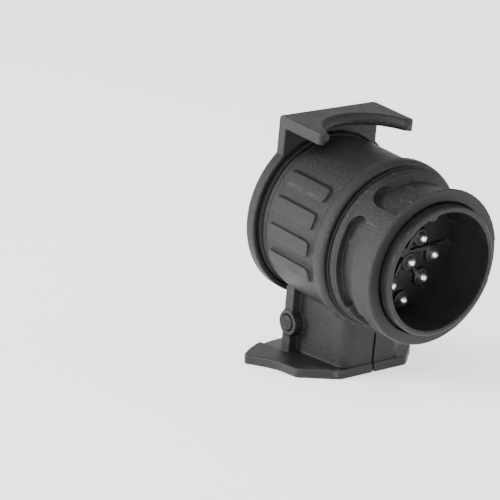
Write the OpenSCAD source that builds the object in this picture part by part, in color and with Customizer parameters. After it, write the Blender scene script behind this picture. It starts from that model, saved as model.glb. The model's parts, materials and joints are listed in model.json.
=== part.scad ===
// Short adapter between a 13-pin vehicle socket and a 7-pin trailer plug.
// The barrel leans nose-down on its pillar and foot.  The barrel frame has its origin on the
// barrel axis at the front face of the flange, with +Y towards the 7-pin mouth.  In the row
// frame +Z is up, the foot stands on z = 0 and X = 0 is the plane of symmetry.

/* [Barrel] */
// Outer radius of the grip barrel
barrel_r = 21.2; // [20.6:0.1:22]
// Length from the flange face to the 7-pin mouth rim
barrel_len = 26.3; // [25.5:0.1:28]
// Radius of the flange behind the bayonet sleeve
flange_r = 22.3; // [21.8:0.1:23]
// Nose-down lean of the barrel on its foot
lean = 7.7; // [5:0.1:9]
// Height of the barrel axis over the ground at the flange face
axis_height = 34.8; // [34:0.1:36]

/* [Grip pads] */
// Number of raised pads on each side
pads_per_side = 4; // [3:1:4]
// Clock angle of the highest pad, from the top
pad_first = 52; // [46:0.5:54]
// Angle between neighbouring pads
pad_pitch = 19; // [18:0.1:20]
// Length of a pad along the barrel
pad_len = 16.2; // [12:0.1:16.6]
// Width of a pad
pad_w = 4.1; // [3:0.1:4.6]
// Height of a pad over the barrel
pad_h = 0.9; // [0.4:0.1:1]

/* [Plug end] */
// Outer radius of the bayonet sleeve
sleeve_r = 20.4; // [20:0.1:20.6]
// Distance from the flange face to the sleeve's front edge
sleeve_len = 16.4; // [16:0.1:17]
// Distance from the flange face to the nose of the keyed shroud
nose_len = 19.5; // [19:0.1:20.5]
// Inner radius of the keyed shroud
shroud_in_r = 15.4; // [15:0.1:15.6]
// Depth of the bayonet grooves
groove_depth = 1.9; // [1.2:0.1:2]
// Radius of a plug pin
pin_r = 1.25; // [1:0.05:1.3]

/* [Socket end] */
// Inner radius of the 7-pin mouth, for a 38.6 mm plug
mouth_r = 19.8; // [19.6:0.05:19.9]
// Distance of the contact face behind the mouth rim
face_depth = 7.2; // [7:0.1:8]
// Radius of the contact circle
contact_circle_r = 11; // [10.8:0.1:11.2]

/* [Lid] */
// Radius of the lid cap
lid_r = 22.9; // [22.4:0.1:23]
// Width of the hook bracket above the lid
hook_w = 30.4; // [28:0.1:31]
// Height of the hook's top over the barrel axis
hook_top = 27.3; // [26.8:0.1:28]
// Thickness of the hook plate
hook_t = 3.1; // [2.6:0.1:3.2]
// Reach of the hook plate in front of the lid's back face
hook_reach = 17.5; // [16.6:0.1:17.6]

/* [Pillar and foot] */
// Width of the pillar
pillar_w = 19; // [18.6:0.1:20]
// Thickness of the foot plate
foot_t = 2.5; // [2:0.1:3]
// Distance from the barrel's flange face to the foot's rear edge
foot_rear = 41; // [40.5:0.5:42]
// Radius of the hinge pin
hinge_pin_r = 1.5; // [1.2:0.1:1.6]

/* [Hidden] */
$fn = 96;
eps = 0.01;
run_gap = 0.05;            // radial running clearance of the turning core
seat_gap = 0.02;           // clearance between pieces seated in each other
moulded = "#2b2c2f";
moulded_inner = "#222326";
rubber = "#151515";
nickel = "#c9c9c4";
brass = "#b08d57";
steel = "#8d9094";

// Core: the keyed shroud and both contact carriers, which turn in the housing
core_r = 17.15;
nose_r = 16.9;
nose_step = -14;            // where the core narrows to the nose
chamber_front = -2;
cup_floor = 11;
cup_r = 19.6;
shoulder = 9;
flange_core_r = 19.3;
spigot_r = 20.6;
spigot_start = barrel_len - 7;
groove_line = barrel_len - 2.1;   // end of the barrel and start of the ring's neck
lip_start = barrel_len - 1.4;
lip_r = 20.9;
face_y = barrel_len - face_depth;
sleeve_in_r = 17.25;
sleeve_floor_r = sleeve_r - groove_depth;

// Lid and hinge
lid_front = barrel_len + 1.2;
lid_back = barrel_len + 4.3;
lid_plate_t = 2;
hinge_y = 22.9;
hinge_z = -27.5;
knuckle_r = 3.3;
knuckle_half = 6.7;
spring_bay_half = 2.6;
boss_r = 3.4;
ear_half = 12.2;
boss_half = 12.6;
cheek_in = 7;
hook_arc_r = 12.4;
bead_r = 1.65;
hook_fold_r = 1;
crescent_y = lid_back - 20;

// Contacts: clock angles round the 7-pin circle; tubes and recessed pins
tube_clock = [48, -10, -121, 178];
recess_clock = [110, -66];
tube_r = 3.5;
well_r = 4.2;
tail_r = 0.8;

// Plug pins: places in the barrel's cross-section, seen from the 7-pin end
plug_pins = [[4.1, 3.9], [8.6, -1.2], [1, -2.2], [5.6, -7], [-4.5, -7.6], [-0.3, -12.2],
             [-7.2, -2], [-3.4, 4.6]];
pin_tip_y = -8;
// Links: [socket contact, plug pin], from the level nearest the plug to the one nearest the socket
link_pairs = [[0, 0], [1, 7], [2, 4], [3, 5], [4, 1], [5, 6], [6, 2]];
link_step = 1.25;
link_t = 0.7;
link_w = 1.8;
link_first = -0.8;

// Foot outline
foot_front = 6.1;
foot_front_half = 10.8;
foot_side_half = 19.1;
foot_side_start = 14.1;
foot_flare_start = 21;
foot_corner_r = 1;
wing_half = 22.4;
wing_tip_r = 2.2;
foot_rear_r = 32;
wing_y = foot_rear - foot_rear_r
    + sqrt(pow(foot_rear_r - wing_tip_r, 2) - pow(wing_half - wing_tip_r, 2));
ramp_half = 12;
ramp_start = 30.2;
ramp_drop = 1.1;

nose_reach = nose_len * cos(lean) + (shroud_in_r + 0.9) * sin(lean);
axis_y = -(foot_rear - nose_reach) / 2;

function on_clock(r, c) = [r * sin(c), r * cos(c)];
function socket_place(i) =
    i < 4 ? on_clock(contact_circle_r, tube_clock[i]) :
    i < 6 ? on_clock(contact_circle_r, recess_clock[i - 4]) : [0, 0];
// A corner p, rounded over a length r of the sides to a and b
function round_corner(a, p, b, r) =
    let (u = (a - p) / norm(a - p), v = (b - p) / norm(b - p))
    [for (k = [0:4]) let (q = k / 4) p + r * ((1 - q) * (1 - q) * u + q * q * v)];
function link_y(i) = link_first + link_step * i;
function level_of_socket(s) = [for (i = [0:6]) if (link_pairs[i][0] == s) link_y(i)][0];
function level_of_pin(p) =
    let (hit = [for (i = [0:6]) if (link_pairs[i][1] == p) link_y(i)])
    len(hit) > 0 ? hit[0] : link_first - 0.5;

// Frames -------------------------------------------------------------------------------------
module in_barrel() {
    translate([0, axis_y, axis_height]) rotate([lean, 0, 0]) children();
}

// A solid of revolution about the barrel axis; profile points are [radius, y]
module turned(profile) {
    rotate([-90, 0, 0]) rotate_extrude() polygon(profile);
}

// Part of a ring between two clock angles
module turned_arc(profile, c0, c1) {
    rotate([-90, 0, 0]) rotate([0, 0, c0 - 90]) rotate_extrude(angle = c1 - c0) polygon(profile);
}

// A rod parallel to the barrel axis at the cross-section place p = [x, z]
module rod(p, y0, y1, r) {
    translate([p[0], y0, p[1]]) rotate([-90, 0, 0]) cylinder(h = y1 - y0, r = r);
}

// A rod across the barrel, along X
module cross_rod(y, z, x0, x1, r) {
    translate([x0, y, z]) rotate([0, 90, 0]) cylinder(h = x1 - x0, r = r);
}

module box_between(a, b) {
    translate(a) cube(b - a);
}

module rounded_rect(l, w, r) {
    c = [[l / 2, w / 2], [-l / 2, w / 2], [-l / 2, -w / 2], [l / 2, -w / 2]];
    polygon([for (k = [0:3]) each round_corner(c[(k + 3) % 4], c[k], c[(k + 1) % 4], r)]);
}

// Housing ------------------------------------------------------------------------------------
module barrel_shell() {
    edge = 0.5;
    turned([[core_r + run_gap, 0], [flange_r - edge - 0.2, 0], [flange_r - 0.2, edge],
            [flange_r, 1.4], [flange_r, 3.2], [barrel_r, 4.5], [barrel_r, groove_line - 0.3],
            [barrel_r - 0.3, groove_line], [spigot_r, groove_line], [spigot_r, spigot_start],
            [cup_r, spigot_start], [cup_r, shoulder], [core_r + run_gap, shoulder]]);
}

// The pads' flanks lie along X, the way the mould opens
module grip_pads() {
    pad_mid = 14.5;
    inner_x = 8;
    reach = 20;
    corner = 1.3;
    outer_r = barrel_r + pad_h;
    half_angle = asin(pad_w / 2 / outer_r);
    intersection() {
        rod([0, 0], pad_mid - pad_len, pad_mid + pad_len, outer_r);
        for (side = [-1, 1], i = [0:pads_per_side - 1]) {
            clock = pad_first + pad_pitch * i;
            low = outer_r * cos(clock + half_angle);
            high = outer_r * cos(clock - half_angle);
            translate([side > 0 ? inner_x : -inner_x - reach, pad_mid, (low + high) / 2])
                rotate([90, 0, 90]) linear_extrude(reach) rounded_rect(pad_len, high - low, corner);
        }
    }
}

module pillar() {
    front = 2.2;
    corner = 3.4;
    depth = 19.5;
    low = -42;
    high = -14;
    half = pillar_w / 2;
    translate([0, 0, low])
        linear_extrude(high - low) {
            translate([-half, front + corner]) square([pillar_w, depth - corner]);
            translate([-half + corner, front]) square([pillar_w - 2 * corner, corner + 1]);
            for (s = [-1, 1]) translate([s * (half - corner), front + corner]) circle(r = corner);
        }
}

module ears() {
    ear_front = 21.7;
    ear_rear = 25;
    low = -42;
    high = -15.5;
    inner = pillar_w / 2 - 2.4;
    for (s = [-1, 1]) {
        translate([s > 0 ? inner : -ear_half, ear_front, low])
            cube([ear_half - inner, ear_rear - ear_front, high - low]);
        cross_rod(hinge_y, hinge_z, s > 0 ? inner : -boss_half, s > 0 ? boss_half : -inner, boss_r);
    }
}

module foot_outline() {
    steps = 8;
    front = [foot_front_half, foot_front];
    side = [foot_side_half, foot_side_start];
    rear_a = asin((wing_half - wing_tip_r) / (foot_rear_r - wing_tip_r));
    flare = [for (i = [0:steps]) let (t = i / steps)
        [foot_side_half + (wing_half - foot_side_half) * pow(t, 1.5),
         foot_flare_start + (wing_y - foot_flare_start) * t]];
    tip = [for (i = [1:steps]) let (a = (90 - rear_a) * i / steps)
        [wing_half - wing_tip_r + wing_tip_r * cos(a), wing_y + wing_tip_r * sin(a)]];
    rear = [for (i = [1:steps]) let (a = rear_a * (1 - i / steps))
        [foot_rear_r * sin(a), foot_rear - foot_rear_r * (1 - cos(a))]];
    half = concat([[0, foot_front]], round_corner([0, foot_front], front, side, foot_corner_r),
                  round_corner(front, side, flare[0], foot_corner_r), flare, tip, rear);
    polygon(half);
    mirror([1, 0]) polygon(half);
}

module foot() {
    translate([0, axis_y, 0])
        difference() {
            linear_extrude(foot_t) foot_outline();
            translate([-ramp_half, ramp_start, foot_t])
                rotate([-atan(ramp_drop / (foot_rear - ramp_start)), 0, 0])
                    cube([2 * ramp_half, 20, 5]);
        }
}

module housing() {
    slit_half = 0.35;
    head_depth = 0.8;
    head_r = 2.3;
    color(moulded)
        difference() {
            union() {
                in_barrel() {
                    barrel_shell();
                    difference() {
                        union() {
                            pillar();
                            ears();
                            grip_pads();
                        }
                        rod([0, 0], -1, barrel_len + 4, barrel_r - 0.4);
                        // room for the mouth ring's lip
                        rod([0, 0], groove_line - 0.05, barrel_len + 4, barrel_r + 0.1);
                        // hollow between the cheeks, open to the rear
                        box_between([-cheek_in, 12, -45], [cheek_in, 30, -barrel_r]);
                    }
                }
                foot();
            }
            // nothing reaches below the foot
            translate([-50, -80, -50]) cube([100, 160, 50]);
            in_barrel() {
                cross_rod(hinge_y, hinge_z, -20, 20, hinge_pin_r + seat_gap);
                for (s = [-1, 1])
                    cross_rod(hinge_y, hinge_z, s > 0 ? boss_half - head_depth : -boss_half - 1,
                              s > 0 ? boss_half + 1 : head_depth - boss_half, head_r);
                // slit down the front of the pillar
                box_between([-slit_half, 1, -45], [slit_half, 3.4, -24.5]);
                // groove of the retaining ring
                difference() {
                    rod([0, 0], cup_floor + 0.04, cup_floor + 1.06, cup_r + 0.4);
                    rod([0, 0], cup_floor - 1, cup_floor + 2, cup_r - 1);
                }
            }
        }
}

// Front sleeve with its bayonet grooves ------------------------------------------------------
// A groove between two clock angles; its rear wall slopes by so much down to the floor
module bayonet_groove(c0, c1, y0, y1, slope = 0) {
    over = 0.5;
    turned_arc([[sleeve_floor_r, y0], [sleeve_r + over, y0],
                [sleeve_r + over, y1 + slope * over / groove_depth],
                [sleeve_floor_r, y1 - slope]], c0, c1);
}

// Round end of a groove, centred at clock angle c and y
// Round end of a groove, centred at clock angle c and y; lift keeps its floor off the groove's
module groove_end(c, y, r) {
    lift = 0.03;
    over = 0.7;
    intersection() {
        turned([[sleeve_floor_r + lift, y - r - 1], [sleeve_r + over, y - r - 1],
                [sleeve_r + over, y + r + 1], [sleeve_floor_r + lift, y + r + 1]]);
        rotate([0, c, 0]) translate([0, y, 10]) cylinder(h = 15, r = r);
    }
}

module bayonet_sleeve() {
    collar_r = 20.75;
    nose = -sleeve_len;
    crest = 0.8;                        // thickness of the rim in front of the pocket
    pocket_rear = -3.7;
    corner_r = 5;
    arrow_clock = -21;
    color(moulded)
        in_barrel() {
            difference() {
                turned([[sleeve_in_r, 0], [19, 0], [19, -1.2], [collar_r, -1.2], [collar_r, -2.6],
                        [sleeve_r, -3.2], [sleeve_r, nose + 0.4], [sleeve_r - 0.15, nose + 0.12],
                        [sleeve_r - 0.5, nose], [sleeve_in_r + 0.15, nose],
                        [sleeve_in_r, nose + 0.15]]);
                // side groove, a quarter turn with its closed end at the top
                bayonet_groove(-128, -60, -9.4, -3.4);
                groove_end(-60, -6.4, 2.98);
                bayonet_groove(-153, -126, -11.2, -5);
                // lower groove on the far side
                bayonet_groove(100, 162, -8.5, -3.5);
                // upper pocket that the lug enters by, with a rounded corner
                bayonet_groove(-26.5, 66, nose + crest, pocket_rear, 1);
                groove_end(-26.5, pocket_rear - corner_r, corner_r - 0.02);
                bayonet_groove(-40.4, -22, nose + crest + 0.02, pocket_rear - corner_r);
                // seam of the pocket's rear wall
                rotate([0, 2, 0])
                    box_between([-0.15, -5.5, sleeve_floor_r - 0.5], [0.15, -3.4, sleeve_r + 1]);
                // shallow flat beside the far groove
                turned_arc([[sleeve_r - 0.45, nose - 1], [sleeve_r + 1, nose - 1],
                            [sleeve_r + 1, -12], [sleeve_r - 0.45, -12]], 78, 108);
            }
            // raised arrow on the floor of the upper pocket
            rotate([0, arrow_clock, 0])
                translate([0, 0, sleeve_floor_r - 0.5])
                    linear_extrude(1.2)
                        polygon([[0.7, -9], [1.7, -13.1], [-0.6, -15.2], [-1.7, -10.8]]);
        }
}

module sleeve_seal() {
    back = -1.2 + seat_gap;
    neck = 20.2;
    lip = 21.2;
    color(rubber)
        in_barrel()
            turned([[19 + seat_gap, -seat_gap], [neck, -seat_gap], [neck, -0.7], [lip, -0.9],
                    [lip, back], [19 + seat_gap, back]]);
}

module mouth_ring() {
    edge = 0.3;
    neck_r = spigot_r - seat_gap;
    color(moulded)
        in_barrel()
            turned([[mouth_r, spigot_start + seat_gap], [neck_r, spigot_start + seat_gap],
                    [neck_r, lip_start], [lip_r - 0.1, lip_start], [lip_r, lip_start + 0.15],
                    [lip_r, barrel_len - edge], [lip_r - edge, barrel_len], [mouth_r, barrel_len]]);
}

module retaining_ring() {
    ring_clock = 185;
    color(steel)
        in_barrel()
            difference() {
                turned([[17.6, cup_floor + 0.1], [cup_r + 0.35, cup_floor + 0.1],
                        [cup_r + 0.35, cup_floor + 1], [17.6, cup_floor + 1]]);
                rotate([0, ring_clock, 0]) box_between([-2, cup_floor, 15], [2, cup_floor + 2, 21]);
            }
}

// Hinge --------------------------------------------------------------------------------------
module hinge_pin() {
    color(steel)
        in_barrel() {
            cross_rod(hinge_y, hinge_z, -boss_half + 0.5, boss_half - 0.2, hinge_pin_r);
            cross_rod(hinge_y, hinge_z, -boss_half - 0.15, -boss_half + 0.75, 2.1);
        }
}

module pin_clip() {
    color(steel)
        in_barrel()
            difference() {
                cross_rod(hinge_y, hinge_z, boss_half - 0.75, boss_half - 0.25, 2.2);
                cross_rod(hinge_y, hinge_z, boss_half - 2, boss_half + 2, hinge_pin_r + seat_gap);
            }
}

// Torsion spring: a helix of wire round the pin, in the bay between the lid's knuckles
spring_wire_r = 0.35;
spring_coil_r = 2.1;
spring_turns = 4.5;
spring_steps = 14;
spring_a0 = 200;
spring_half = 1.9;
function spring_point(k) =
    let (t = k / (spring_turns * spring_steps), a = spring_a0 + 360 * spring_turns * t)
    [-spring_half + 2 * spring_half * t, hinge_y + spring_coil_r * cos(a),
     hinge_z + spring_coil_r * sin(a)];
function ring_round(p, u, v, r, n) =
    [for (j = [0:n - 1]) p + r * cos(360 * j / n) * u + r * sin(360 * j / n) * v];

module hinge_spring() {
    n = 6;
    last = spring_turns * spring_steps;
    path = [for (k = [0:last]) spring_point(k)];
    rings = [for (k = [0:last]) let (a = spring_a0 + 360 * k / spring_steps)
        ring_round(path[k], [0, cos(a), sin(a)], [1, 0, 0], spring_wire_r, n)];
    points = [for (ring = rings) each ring];
    sides = [for (k = [0:last - 1], j = [0:n - 1])
        [k * n + j, k * n + (j + 1) % n, (k + 1) * n + (j + 1) % n, (k + 1) * n + j]];
    first_cap = [for (j = [n - 1:-1:0]) j];
    last_cap = [for (j = [0:n - 1]) last * n + j];
    color(steel)
        in_barrel()
            polyhedron(points, concat(sides, [first_cap, last_cap]), convexity = 8);
}

// Lid ----------------------------------------------------------------------------------------
// The hook plate's outline from above: two prongs beside a crescent with a beaded edge
module hook_outline() {
    half = hook_w / 2;
    front_y = lid_back - hook_reach;
    tip_r = 1;
    difference() {
        union() {
            translate([-half, front_y + tip_r + 0.3])
                square([hook_w, hook_reach - tip_r - 0.5 - hook_fold_r]);
            for (s = [-1, 1])
                translate([s * (half - tip_r), front_y + tip_r + 0.3]) circle(r = tip_r);
        }
        translate([0, crescent_y]) circle(r = hook_arc_r + bead_r);
    }
}

module hook_bead() {
    ring_r = hook_arc_r + bead_r;
    end_y = lid_back - hook_reach + bead_r;
    end_x = sqrt(pow(ring_r, 2) - pow(end_y - crescent_y, 2));
    mid_z = hook_top - hook_t / 2;
    intersection() {
        translate([0, crescent_y, mid_z]) rotate_extrude() translate([ring_r, 0]) circle(r = bead_r);
        box_between([-hook_w, end_y, 0], [hook_w, lid_back, 40]);
    }
    for (s = [-1, 1]) translate([s * end_x, end_y, mid_z]) sphere(r = bead_r);
}

// The fold that joins the hook plate to the lid, with a rounded outer edge
module hook_fold() {
    low = 12;
    rear = lid_back - 0.2;
    translate([-hook_w / 2, 0, 0])
        rotate([90, 0, 90])
            linear_extrude(hook_w) {
                translate([lid_front + 0.1, low])
                    square([rear - lid_front - 0.1, hook_top - hook_fold_r - low]);
                translate([lid_front + 0.1, low])
                    square([rear - lid_front - 0.1 - hook_fold_r, hook_top - low]);
                translate([rear - hook_fold_r, hook_top - hook_fold_r]) circle(r = hook_fold_r);
            }
}

module lid() {
    skirt = 1.3;
    edge = 0.3;
    arm_low = hinge_z - 1.5;
    rear = lid_back - 0.2;
    color(moulded)
        in_barrel() {
            turned([[0, lid_back - lid_plate_t], [lid_r - skirt, lid_back - lid_plate_t],
                    [lid_r - skirt, lid_front], [lid_r - edge, lid_front],
                    [lid_r, lid_front + edge], [lid_r, lid_back - edge], [lid_r - edge, lid_back],
                    [0, lid_back]]);
            difference() {
                hook_fold();
                rod([0, 0], lid_front - 1, lid_back - lid_plate_t, lid_r - skirt);
            }
            translate([0, 0, hook_top - hook_t]) linear_extrude(hook_t) hook_outline();
            hook_bead();
            difference() {
                union() {
                    cross_rod(hinge_y, hinge_z, -knuckle_half, knuckle_half, knuckle_r);
                    box_between([-knuckle_half, hinge_y, arm_low],
                                [knuckle_half, rear, hinge_z + knuckle_r]);
                    box_between([-knuckle_half, lid_front + 0.2, arm_low], [knuckle_half, rear, -17]);
                }
                cross_rod(hinge_y, hinge_z, -20, 20, hinge_pin_r + run_gap);
                // bay of the spring
                box_between([-spring_bay_half, hinge_y - 4, hinge_z - 4],
                            [spring_bay_half, lid_front - 0.6, hinge_z + 4]);
                rod([0, 0], lid_front - 2, lid_back - lid_plate_t, lid_r - skirt);
            }
        }
}

module lid_gasket() {
    color(rubber)
        in_barrel()
            turned([[18.4, lid_back - lid_plate_t - seat_gap], [18.4, barrel_len + 0.5],
                    [19, barrel_len + 0.2], [20.6, barrel_len + 0.2], [21.2, barrel_len + 0.5],
                    [21.2, lid_back - lid_plate_t - seat_gap]]);
}

// Core ---------------------------------------------------------------------------------------
module plug_shroud() {
    key_clock = -12.5;
    key_r = 1.6;
    key_tip = 1.9;                      // how far the key stands into the nose
    nose = -nose_len;
    hidden_r = nose_r - 0.6;            // relief of the nose inside the bayonet sleeve
    color(moulded)
        in_barrel() {
            turned([[shroud_in_r, shoulder - seat_gap], [core_r, shoulder - seat_gap],
                    [core_r, 5.2], [core_r - 1, 5.2], [core_r - 1, 3.2], [core_r, 3.2],
                    [core_r, nose_step], [hidden_r, nose_step],
                    [hidden_r, -sleeve_len], [nose_r, -sleeve_len], [nose_r, nose + 0.7],
                    [nose_r - 0.15, nose + 0.25], [nose_r - 0.5, nose], [shroud_in_r + 0.3, nose],
                    [shroud_in_r, nose + 0.3]]);
            // key rib inside the nose, with a rounded edge
            rotate([0, key_clock, 0]) {
                box_between([-key_r, nose + 1.6, shroud_in_r - key_tip + key_r],
                            [key_r, -5, shroud_in_r + 0.5]);
                rod([0, shroud_in_r - key_tip + key_r], nose + 1.6, -5, key_r);
            }
        }
}

module plug_insert() {
    r = shroud_in_r - seat_gap;
    base_front = -5;
    color(moulded_inner)
        in_barrel()
            difference() {
                union() {
                    rod([0, 0], base_front + 0.05, chamber_front, r);
                    // raised collars and ribs between the pins
                    for (p = plug_pins) rod(p, base_front - 1.4, base_front + 0.1, 2.3);
                    for (a = [0:60:120])
                        rotate([0, a + 25, 0])
                            box_between([-0.6, base_front - 1, -13], [0.6, base_front + 0.1, 13]);
                }
                for (p = plug_pins) rod(p, -20, 20, pin_r + seat_gap);
            }
}

module plug_pin(i) {
    p = plug_pins[i];
    tail_end = max(level_of_pin(i) - seat_gap, chamber_front + 0.6);
    color(nickel)
        in_barrel() {
            translate([p[0], pin_tip_y + pin_r, p[1]]) sphere(r = pin_r);
            rod(p, pin_tip_y + pin_r, chamber_front + 0.3, pin_r);
            rod(p, chamber_front, tail_end, tail_r);
        }
}

module socket_insert() {
    color(moulded_inner)
        in_barrel()
            difference() {
                union() {
                    rod([0, 0], shoulder + 0.05, cup_floor, flange_core_r);
                    rod([0, 0], cup_floor - eps, face_y, 9.4);
                    for (i = [0:5])
                        rod(socket_place(i), cup_floor - eps, face_y, well_r + 1.1);
                }
                for (i = [0:3]) {
                    rod(socket_place(i), face_y - 6, face_y + 2, well_r - 0.4);
                    rod(socket_place(i), 5, face_y, 1.6 + seat_gap);
                }
                for (i = [4:6]) {
                    rod(socket_place(i), face_y - 6, face_y + 2, well_r);
                    rod(socket_place(i), 5, face_y, 1.6 + seat_gap);
                }
            }
}

module socket_tube(i) {
    p = socket_place(i);
    color(brass)
        in_barrel()
            difference() {
                union() {
                    rod(p, face_y - 6 + seat_gap, face_y + 0.2, tube_r);
                    rod(p, shoulder, face_y - 5.9, 1.6);
                    rod(p, level_of_socket(i) + link_t + seat_gap, shoulder + 0.1, tail_r);
                }
                rod(p, face_y - 5.5, face_y + 1, tube_r - 0.9);
                // slots that let the tube spring open
                translate([p[0], face_y - 4.4, p[1]])
                    box_between([-5, 0, -0.25], [5, 8, 0.25]);
            }
}

module socket_pin(i) {
    p = socket_place(i + 4);
    split_r = 2.5;
    color(nickel)
        in_barrel()
            difference() {
                union() {
                    translate([p[0], face_y - 1.2 - split_r, p[1]])
                        intersection() {
                            sphere(r = split_r);
                            translate([-5, 0, -5]) cube([10, 10, 10]);
                        }
                    rod(p, face_y - 6 + seat_gap, face_y - 1.2 - split_r + eps, split_r);
                    rod(p, shoulder, face_y - 5.9, 1.6);
                    rod(p, level_of_socket(i + 4) + link_t + seat_gap, shoulder + 0.1, tail_r);
                }
                translate([p[0], face_y - 5, p[1]]) box_between([-0.35, 0, -4], [0.35, 8, 4]);
            }
}

module core_seal() {
    color(rubber)
        in_barrel()
            rotate([-90, 0, 0]) rotate_extrude()
                translate([core_r - 0.45, 4.2]) circle(r = 0.42);
}

// A flat bar from a 7-pin contact's tail to a plug pin's tail
module link(i) {
    a = socket_place(link_pairs[i][0]);
    b = plug_pins[link_pairs[i][1]];
    d = b - a;
    color(brass)
        in_barrel()
            translate([a[0], link_y(i), a[1]])
                rotate([0, -atan2(d[1], d[0]), 0]) {
                    translate([0, 0, -link_w / 2]) cube([norm(d), link_t, link_w]);
                    rotate([-90, 0, 0]) cylinder(h = link_t, r = link_w / 2);
                    translate([norm(d), 0, 0]) rotate([-90, 0, 0]) cylinder(h = link_t, r = link_w / 2);
                }
}

housing();
bayonet_sleeve();
sleeve_seal();
mouth_ring();
retaining_ring();
hinge_pin();
pin_clip();
hinge_spring();
lid();
lid_gasket();
plug_shroud();
plug_insert();
socket_insert();
core_seal();
for (i = [1:8]) plug_pin(i - 1);
for (i = [1:4]) socket_tube(i - 1);
for (i = [1:3]) socket_pin(i - 1);
for (i = [1:7]) link(i - 1);
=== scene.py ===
"""Looks of the short 13-pin to 7-pin adapter: moulded shells, contacts, materials, light and camera."""

import json
import math

import bmesh
import bpy
import numpy as np
from mathutils import Matrix, Vector


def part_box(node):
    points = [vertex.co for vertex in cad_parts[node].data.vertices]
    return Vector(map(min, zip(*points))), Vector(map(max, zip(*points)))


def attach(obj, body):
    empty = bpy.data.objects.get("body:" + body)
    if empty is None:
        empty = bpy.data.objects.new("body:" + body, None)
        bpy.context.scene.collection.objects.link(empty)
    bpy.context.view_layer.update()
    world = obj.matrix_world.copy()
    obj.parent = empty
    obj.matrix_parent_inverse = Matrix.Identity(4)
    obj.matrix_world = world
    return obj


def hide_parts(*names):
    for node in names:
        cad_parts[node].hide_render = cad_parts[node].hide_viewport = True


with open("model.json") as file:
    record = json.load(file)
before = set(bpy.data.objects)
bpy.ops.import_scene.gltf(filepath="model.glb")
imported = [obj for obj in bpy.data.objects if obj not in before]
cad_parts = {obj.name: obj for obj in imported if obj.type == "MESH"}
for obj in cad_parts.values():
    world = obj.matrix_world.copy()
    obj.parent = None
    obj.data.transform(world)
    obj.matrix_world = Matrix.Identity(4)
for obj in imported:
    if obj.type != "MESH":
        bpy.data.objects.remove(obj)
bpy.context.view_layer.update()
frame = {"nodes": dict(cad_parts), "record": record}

MM = 0.001

# The barrel frame: origin on the barrel axis at the flange face, y towards the 7-pin mouth.
core_joint = next(j for j in frame["record"]["behaviour"]["joints"] if j["name"] == "core_twist")
TO_NOSE = Vector(core_joint["axis"]).normalized()
ORIGIN = Vector(core_joint["pos_m"])
ALONG = -TO_NOSE
ACROSS = Vector((1, 0, 0))
UP = ACROSS.cross(ALONG)
BARREL = np.array([ACROSS, ALONG, UP])


def to_barrel(points):
    """Row-frame points in metres as barrel-frame points in millimetres."""
    return (points - np.array(ORIGIN)) @ BARREL.T / MM


def to_row(points):
    """Barrel-frame points in millimetres as row-frame points in metres."""
    return np.asarray(points, float) @ BARREL * MM + np.array(ORIGIN)


# Camera -----------------------------------------------------------------------------------
def make_camera():
    """The photograph's view: a long lens, a little above the object, from its nose's left."""
    azimuth, elevation = math.radians(-39.69), math.radians(14.59)
    distance = 0.5993
    lens = 171.8
    roll = math.radians(0.9)
    aim_right, aim_up = 4.83 * MM, -1.33 * MM
    turn_left, tilt_down = math.radians(2.93), math.radians(0.233)
    back = Vector((math.sin(azimuth) * math.cos(elevation),
                   -math.cos(azimuth) * math.cos(elevation), math.sin(elevation)))
    right = Vector((math.cos(azimuth), math.sin(azimuth), 0))
    up = back.cross(right)
    data = bpy.data.cameras.new("camera")
    data.lens = lens
    data.sensor_width = 36
    data.clip_start, data.clip_end = 0.01, 10
    camera = bpy.data.objects.new("camera", data)
    bpy.context.scene.collection.objects.link(camera)
    place = ORIGIN + distance * back - aim_right * right - aim_up * up
    turned = Matrix((right, up, back)).transposed().to_4x4()
    camera.matrix_world = (Matrix.Translation(place) @ turned
                           @ Matrix.Rotation(roll, 4, "Z")
                           @ Matrix.Rotation(turn_left, 4, "Y")
                           @ Matrix.Rotation(-tilt_down, 4, "X"))
    bpy.context.scene.camera = camera


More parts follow.
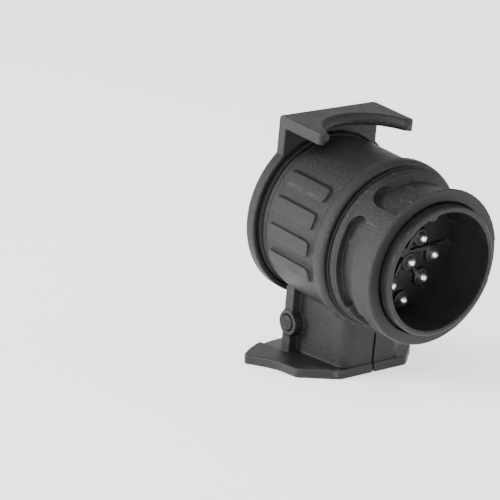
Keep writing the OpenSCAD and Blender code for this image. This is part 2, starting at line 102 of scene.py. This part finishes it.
# Materials --------------------------------------------------------------------------------
class Nodes:
    """Short names for the nodes that the materials here are built from."""

    def __init__(self, name):
        self.material = bpy.data.materials.new(name)
        self.material.use_nodes = True
        self.tree = self.material.node_tree
        self.shader = self.tree.nodes["Principled BSDF"]
        self.place = self.tree.nodes.new("ShaderNodeTexCoord").outputs["Object"]

    def link(self, out, into):
        self.tree.links.new(out, into)

    def noise(self, per_mm, detail=2.0, roughness=0.5):
        """Noise with so many features in a millimetre."""
        node = self.tree.nodes.new("ShaderNodeTexNoise")
        node.inputs["Scale"].default_value = per_mm / MM
        node.inputs["Detail"].default_value = detail
        node.inputs["Roughness"].default_value = roughness
        self.link(self.place, node.inputs["Vector"])
        return node.outputs["Fac"]

    def spread(self, value, low, high, start=0.3, end=0.7):
        """A value between low and high as the input goes from start to end."""
        node = self.tree.nodes.new("ShaderNodeMapRange")
        node.inputs["From Min"].default_value = start
        node.inputs["From Max"].default_value = end
        node.inputs["To Min"].default_value = low
        node.inputs["To Max"].default_value = high
        self.link(value, node.inputs["Value"])
        return node.outputs["Result"]

    def combine(self, operation, a, b):
        """Two values added or multiplied."""
        node = self.tree.nodes.new("ShaderNodeMath")
        node.operation = operation
        self.link(a, node.inputs[0])
        self.link(b, node.inputs[1])
        return node.outputs[0]

    def blend(self, factor, a, b):
        """Colour a where the factor is 0 and colour b where it is 1."""
        node = self.tree.nodes.new("ShaderNodeMix")
        node.data_type = "RGBA"
        self.link(factor, node.inputs["Factor"])
        for socket, colour in ((node.inputs["A"], a), (node.inputs["B"], b)):
            if isinstance(colour, tuple):
                socket.default_value = (*colour, 1)
            else:
                self.link(colour, socket)
        return node.outputs["Result"]

    def bump(self, height, strength, depth_mm):
        """The normal of a surface whose height varies by this depth."""
        node = self.tree.nodes.new("ShaderNodeBump")
        node.inputs["Strength"].default_value = strength
        node.inputs["Distance"].default_value = depth_mm * MM
        self.link(height, node.inputs["Height"])
        return node.outputs["Normal"]

    def edges(self, start, end):
        """One along the sharp outer edges of a piece and nought on its flat faces."""
        geometry = self.tree.nodes.new("ShaderNodeNewGeometry")
        return self.spread(geometry.outputs["Pointiness"], 0, 1, start, end)


def moulded_plastic(name, dark, light, edge_highlight_and_wear, gloss, level, grain_depth):
    """Filled nylon from a spark-eroded mould: fine grain, cloudy flow marks, and a painted highlight on
    sharp outer edges, made patchy like scuffed wear.
    """
    grain_per_mm, pit_per_mm, cloud_per_mm, scuff_per_mm = 2.0, 4.6, 0.13, 1.1
    n = Nodes(name)
    grain = n.combine("ADD", n.spread(n.noise(grain_per_mm, detail=4, roughness=0.7), 0, 1, 0.35, 0.65),
                      n.spread(n.noise(pit_per_mm, detail=2), 0, 0.5, 0.35, 0.65))
    clouds = n.noise(cloud_per_mm, detail=3)
    scuffs = n.noise(scuff_per_mm, detail=5, roughness=0.7)
    body = n.blend(n.combine("MULTIPLY", n.spread(clouds, 0.4, 1), grain), dark, light)
    # Painted highlight, partly scuffed wear: a lighter colour along the sharp outer edges, in patches
    # where the scuff noise is high.
    edge_highlight_and_wear_mask = n.combine("MULTIPLY", n.edges(0.508, 0.55), n.spread(scuffs, 0.45, 1, 0.4, 0.62))
    n.link(n.blend(edge_highlight_and_wear_mask, body, edge_highlight_and_wear), n.shader.inputs["Base Color"])
    n.link(n.combine("ADD", n.spread(clouds, gloss - 0.04, gloss + 0.05),
                     n.spread(scuffs, -0.04, 0.05)), n.shader.inputs["Roughness"])
    n.link(n.bump(grain, 0.6, grain_depth), n.shader.inputs["Normal"])
    n.shader.inputs["IOR"].default_value = 1.5
    n.shader.inputs["Specular IOR Level"].default_value = level
    return n.material


def rubber():
    """Matt seal rubber with a dusty bloom."""
    n = Nodes("rubber_black")
    bloom = n.noise(0.5, detail=4, roughness=0.65)
    n.link(n.blend(n.spread(bloom, 0, 1), (0.004, 0.004, 0.004), (0.010, 0.010, 0.0105)),
           n.shader.inputs["Base Color"])
    n.link(n.spread(bloom, 0.6, 0.78), n.shader.inputs["Roughness"])
    n.link(n.bump(n.noise(5, detail=2), 0.4, 0.02), n.shader.inputs["Normal"])
    n.shader.inputs["Specular IOR Level"].default_value = 0.3
    return n.material


def metal(name, bright, dull, gloss, stain_per_mm=0.7):
    """Plated or bare metal: a clean colour with dull stains and fine handling marks."""
    n = Nodes(name)
    stains = n.noise(stain_per_mm, detail=5, roughness=0.6)
    marks = n.noise(9, detail=2)
    n.link(n.blend(n.spread(stains, 0, 1, 0.42, 0.72), bright, dull), n.shader.inputs["Base Color"])
    n.link(n.spread(stains, gloss, gloss + 0.16), n.shader.inputs["Roughness"])
    n.link(n.bump(marks, 0.25, 0.006), n.shader.inputs["Normal"])
    n.shader.inputs["Metallic"].default_value = 1
    return n.material


# The third colour of each moulded plastic is a painted edge highlight, partly scuffed wear.
MATERIALS = {
    "moulded_black": moulded_plastic("moulded_black", (0.0040, 0.0042, 0.0049),
                                     (0.0135, 0.0137, 0.0145), (0.038, 0.039, 0.041),
                                     gloss=0.46, level=0.3, grain_depth=0.13),
    "insert_black": moulded_plastic("insert_black", (0.0055, 0.0056, 0.0066),
                                    (0.0110, 0.0113, 0.0130), (0.026, 0.027, 0.029),
                                    gloss=0.38, level=0.35, grain_depth=0.03),
    "rubber_black": rubber(),
    "nickel": metal("nickel", (0.97, 0.965, 0.95), (0.86, 0.85, 0.82), gloss=0.24),
    "brass_contact": metal("brass_contact", (0.50, 0.45, 0.36), (0.24, 0.20, 0.14), gloss=0.27),
    "brass_link": metal("brass_link", (0.66, 0.50, 0.26), (0.34, 0.25, 0.12), gloss=0.3),
    "steel_pin": metal("steel_pin", (0.035, 0.035, 0.037), (0.015, 0.015, 0.015), gloss=0.42),
    "spring_steel": metal("spring_steel", (0.42, 0.42, 0.43), (0.2, 0.2, 0.2), gloss=0.28),
}


# Mesh tools -------------------------------------------------------------------------------
def vertices_of(mesh):
    """A mesh's vertices as rows of x, y and z."""
    co = np.empty(len(mesh.vertices) * 3)
    mesh.vertices.foreach_get("co", co)
    return co.reshape(-1, 3)


def set_vertices(mesh, co):
    mesh.vertices.foreach_set("co", np.asarray(co, float).ravel())
    mesh.update()


def flat_copy(name, node):
    """A welded copy of a CAD node's mesh, as a new object."""
    source = frame["nodes"][node].data
    bm = bmesh.new()
    bm.from_mesh(source)
    bmesh.ops.remove_doubles(bm, verts=bm.verts, dist=0.002 * MM)
    mesh = bpy.data.meshes.new(name)
    bm.to_mesh(mesh)
    bm.free()
    piece = bpy.data.objects.new(name, mesh)
    bpy.context.scene.collection.objects.link(piece)
    return piece


def apply_modifiers(piece):
    graph = bpy.context.evaluated_depsgraph_get()
    made = bpy.data.meshes.new_from_object(piece.evaluated_get(graph))
    old = piece.data
    piece.modifiers.clear()
    piece.data = made
    bpy.data.meshes.remove(old)


def smooth(mesh, passes, share=0.5):
    """Evens out a mesh by moving each vertex towards the middle of its neighbours."""
    co = vertices_of(mesh)
    edges = np.empty(len(mesh.edges) * 2, int)
    mesh.edges.foreach_get("vertices", edges)
    a, b = edges.reshape(-1, 2).T
    count = np.bincount(np.concatenate((a, b)), minlength=len(co))[:, None]
    for _ in range(passes):
        total = np.zeros_like(co)
        for axis in range(3):
            total[:, axis] = (np.bincount(a, co[b, axis], len(co))
                              + np.bincount(b, co[a, axis], len(co)))
        co += share * (total / np.maximum(count, 1) - co)
    set_vertices(mesh, co)


def thin_out(piece, faces):
    """Brings a dense mesh down to so many triangles, fewest where it is flat."""
    now = sum(len(p.vertices) - 2 for p in piece.data.polygons)
    if now > faces:
        thin = piece.modifiers.new("thin", "DECIMATE")
        thin.ratio = faces / now
        apply_modifiers(piece)


def finish_piece(piece, node, slot):
    """Shades a piece smooth, gives it its material and puts it in the CAD node's place."""
    for polygon in piece.data.polygons:
        polygon.use_smooth = True
    piece.data.materials.clear()
    piece.data.materials.append(MATERIALS[slot])
    even = piece.modifiers.new("even", "WEIGHTED_NORMAL")
    even.keep_sharp = True
    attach(piece, body_of[node])
    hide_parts(node)


def moulding(name, node, voxel_mm, passes, faces):
    """A CAD shell with the soft edges of a moulded part."""
    piece = flat_copy(name, node)
    remesh = piece.modifiers.new("remesh", "REMESH")
    remesh.mode = "VOXEL"
    remesh.voxel_size = voxel_mm * MM
    apply_modifiers(piece)
    smooth(piece.data, passes)
    thin_out(piece, faces)
    finish_piece(piece, node, slot_of[node])


# Pieces -----------------------------------------------------------------------------------
body_of = {n: body for body, ns in frame["record"]["behaviour"]["bodies"].items() for n in ns}
slot_of = {part["node"]: part["material_slot"] for part in frame["record"]["subparts"]}


def spring():
    """The torsion spring: drawn wire wound round the hinge pin, with its two cut ends."""
    wire_r, turns, start = 0.35, 4.5, math.radians(200)
    steps, sides = 40, 14
    joint = next(j for j in frame["record"]["behaviour"]["joints"] if j["name"] == "lid_hinge")
    middle = to_barrel(np.array(joint["pos_m"]))
    low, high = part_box("hinge_spring")
    half = (high[0] - low[0]) / 2 / MM - wire_r
    coil_r = (high[2] - low[2]) / 2 / MM - wire_r
    rings = int(turns * steps) + 1
    points = []
    for k in range(rings):
        share = k / (rings - 1)
        a = start + 2 * math.pi * turns * share
        out = np.array((0, math.cos(a), math.sin(a)))
        centre = middle + coil_r * out + np.array((half * (2 * share - 1), 0, 0))
        for s in range(sides):
            b = 2 * math.pi * s / sides
            points.append(centre + wire_r * (math.cos(b) * out + np.array((math.sin(b), 0, 0))))
    quads = [(k * sides + s, k * sides + (s + 1) % sides,
              (k + 1) * sides + (s + 1) % sides, (k + 1) * sides + s)
             for k in range(rings - 1) for s in range(sides)]
    ends = [tuple(reversed(range(sides))), tuple(range((rings - 1) * sides, rings * sides))]
    mesh = bpy.data.meshes.new("spring_wire")
    mesh.from_pydata([tuple(p) for p in to_row(points)], [], quads + ends)
    piece = bpy.data.objects.new("spring_wire", mesh)
    bpy.context.scene.collection.objects.link(piece)
    finish_piece(piece, "hinge_spring", "spring_steel")


def make_pieces():
    """The listed CAD nodes as moulded, turned or stamped pieces with soft edges; the other nodes keep
    their CAD mesh.
    """
    moulding("housing_shell", "housing", voxel_mm=0.21, passes=4, faces=180000)
    moulding("sleeve_shell", "bayonet_sleeve", voxel_mm=0.13, passes=3, faces=150000)
    moulding("lid_shell", "lid", voxel_mm=0.2, passes=4, faces=120000)
    moulding("shroud_shell", "plug_shroud", voxel_mm=0.17, passes=4, faces=90000)
    moulding("mouth_lip", "mouth_ring", voxel_mm=0.15, passes=3, faces=60000)
    moulding("pin_carrier", "plug_insert", voxel_mm=0.16, passes=3, faces=60000)
    moulding("contact_carrier", "socket_insert", voxel_mm=0.18, passes=4, faces=80000)
    moulding("sleeve_gasket", "sleeve_seal", voxel_mm=0.12, passes=2, faces=60000)
    moulding("lid_seal", "lid_gasket", voxel_mm=0.16, passes=4, faces=40000)
    moulding("hinge_axle", "hinge_pin", voxel_mm=0.12, passes=4, faces=12000)
    moulding("axle_clip", "pin_clip", voxel_mm=0.07, passes=2, faces=8000)
    for k in range(1, 9):
        moulding(f"nose_pin_{k}", f"plug_pin_{k}", voxel_mm=0.09, passes=3, faces=8000)
    for k in range(1, 5):
        moulding(f"contact_tube_{k}", f"socket_tube_{k}", voxel_mm=0.11, passes=3, faces=16000)
    for k in range(1, 4):
        moulding(f"split_pin_{k}", f"socket_pin_{k}", voxel_mm=0.11, passes=3, faces=12000)
    spring()
    # the nodes that keep their CAD mesh take the same materials
    for node, thing in frame["nodes"].items():
        for s in thing.material_slots:
            s.material = MATERIALS[slot_of[node]]


make_camera()
make_pieces()


# Stage ------------------------------------------------------------------------------------
def make_floor():
    """A plain pale floor that glows a little, as a lit sweep does."""
    mesh = bpy.data.meshes.new("floor")
    half = 3.0
    mesh.from_pydata([(-half, -half, 0), (half, -half, 0), (half, half, 0), (-half, half, 0)],
                     [], [(0, 1, 2, 3)])
    floor = bpy.data.objects.new("floor", mesh)
    bpy.context.scene.collection.objects.link(floor)
    n = Nodes("floor")
    n.shader.inputs["Base Color"].default_value = (0.9, 0.9, 0.9, 1)
    n.shader.inputs["Roughness"].default_value = 0.9
    n.shader.inputs["Emission Color"].default_value = (1, 1, 1, 1)
    n.shader.inputs["Emission Strength"].default_value = 1.15
    mesh.materials.append(n.material)


def area_light(name, azimuth, elevation, distance, size, power):
    """A square soft box that faces the barrel from this direction, with angles in degrees."""
    a, e = math.radians(azimuth), math.radians(elevation)
    back = Vector((math.sin(a) * math.cos(e), -math.cos(a) * math.cos(e), math.sin(e)))
    data = bpy.data.lights.new(name, "AREA")
    data.size = size
    data.energy = power
    light = bpy.data.objects.new(name, data)
    light.location = ORIGIN + back * distance
    light.rotation_mode = "QUATERNION"
    light.rotation_quaternion = back.to_track_quat("Z", "Y")
    bpy.context.scene.collection.objects.link(light)


def dim_side(tree, sky, azimuth, open_side, far_side):
    """A white studio whose wall at this azimuth, behind the object, is dimmer than the rest."""
    direction = tree.nodes.new("ShaderNodeTexCoord").outputs["Generated"]
    towards = tree.nodes.new("ShaderNodeVectorMath")
    towards.operation = "DOT_PRODUCT"
    towards.inputs[1].default_value = (math.sin(azimuth), -math.cos(azimuth), 0)
    tree.links.new(direction, towards.inputs[0])
    level = tree.nodes.new("ShaderNodeMapRange")
    level.interpolation_type = "SMOOTHSTEP"
    level.inputs["From Min"].default_value = 0.1
    level.inputs["From Max"].default_value = 0.85
    level.inputs["To Min"].default_value = open_side
    level.inputs["To Max"].default_value = far_side
    tree.links.new(towards.outputs["Value"], level.inputs["Value"])
    tree.links.new(level.outputs["Result"], sky.inputs["Strength"])


def make_light():
    """A white studio with a dim wall behind the object, and five soft boxes round it."""
    world = bpy.data.worlds.new("world")
    bpy.context.scene.world = world
    world.use_nodes = True
    sky = world.node_tree.nodes["Background"]
    sky.inputs["Color"].default_value = (1, 1, 1, 1)
    dim_side(world.node_tree, sky, math.radians(140), open_side=0.78, far_side=0.34)
    area_light("key", azimuth=-125, elevation=22, distance=0.8, size=0.5, power=11.5)
    area_light("front", azimuth=-46, elevation=16, distance=0.8, size=0.22, power=4.2)
    area_light("right", azimuth=42, elevation=6, distance=0.9, size=0.5, power=3.5)
    area_light("back", azimuth=145, elevation=16, distance=0.9, size=0.5, power=1)
    area_light("top", azimuth=-20, elevation=80, distance=1.6, size=1.2, power=5)


make_floor()
make_light()
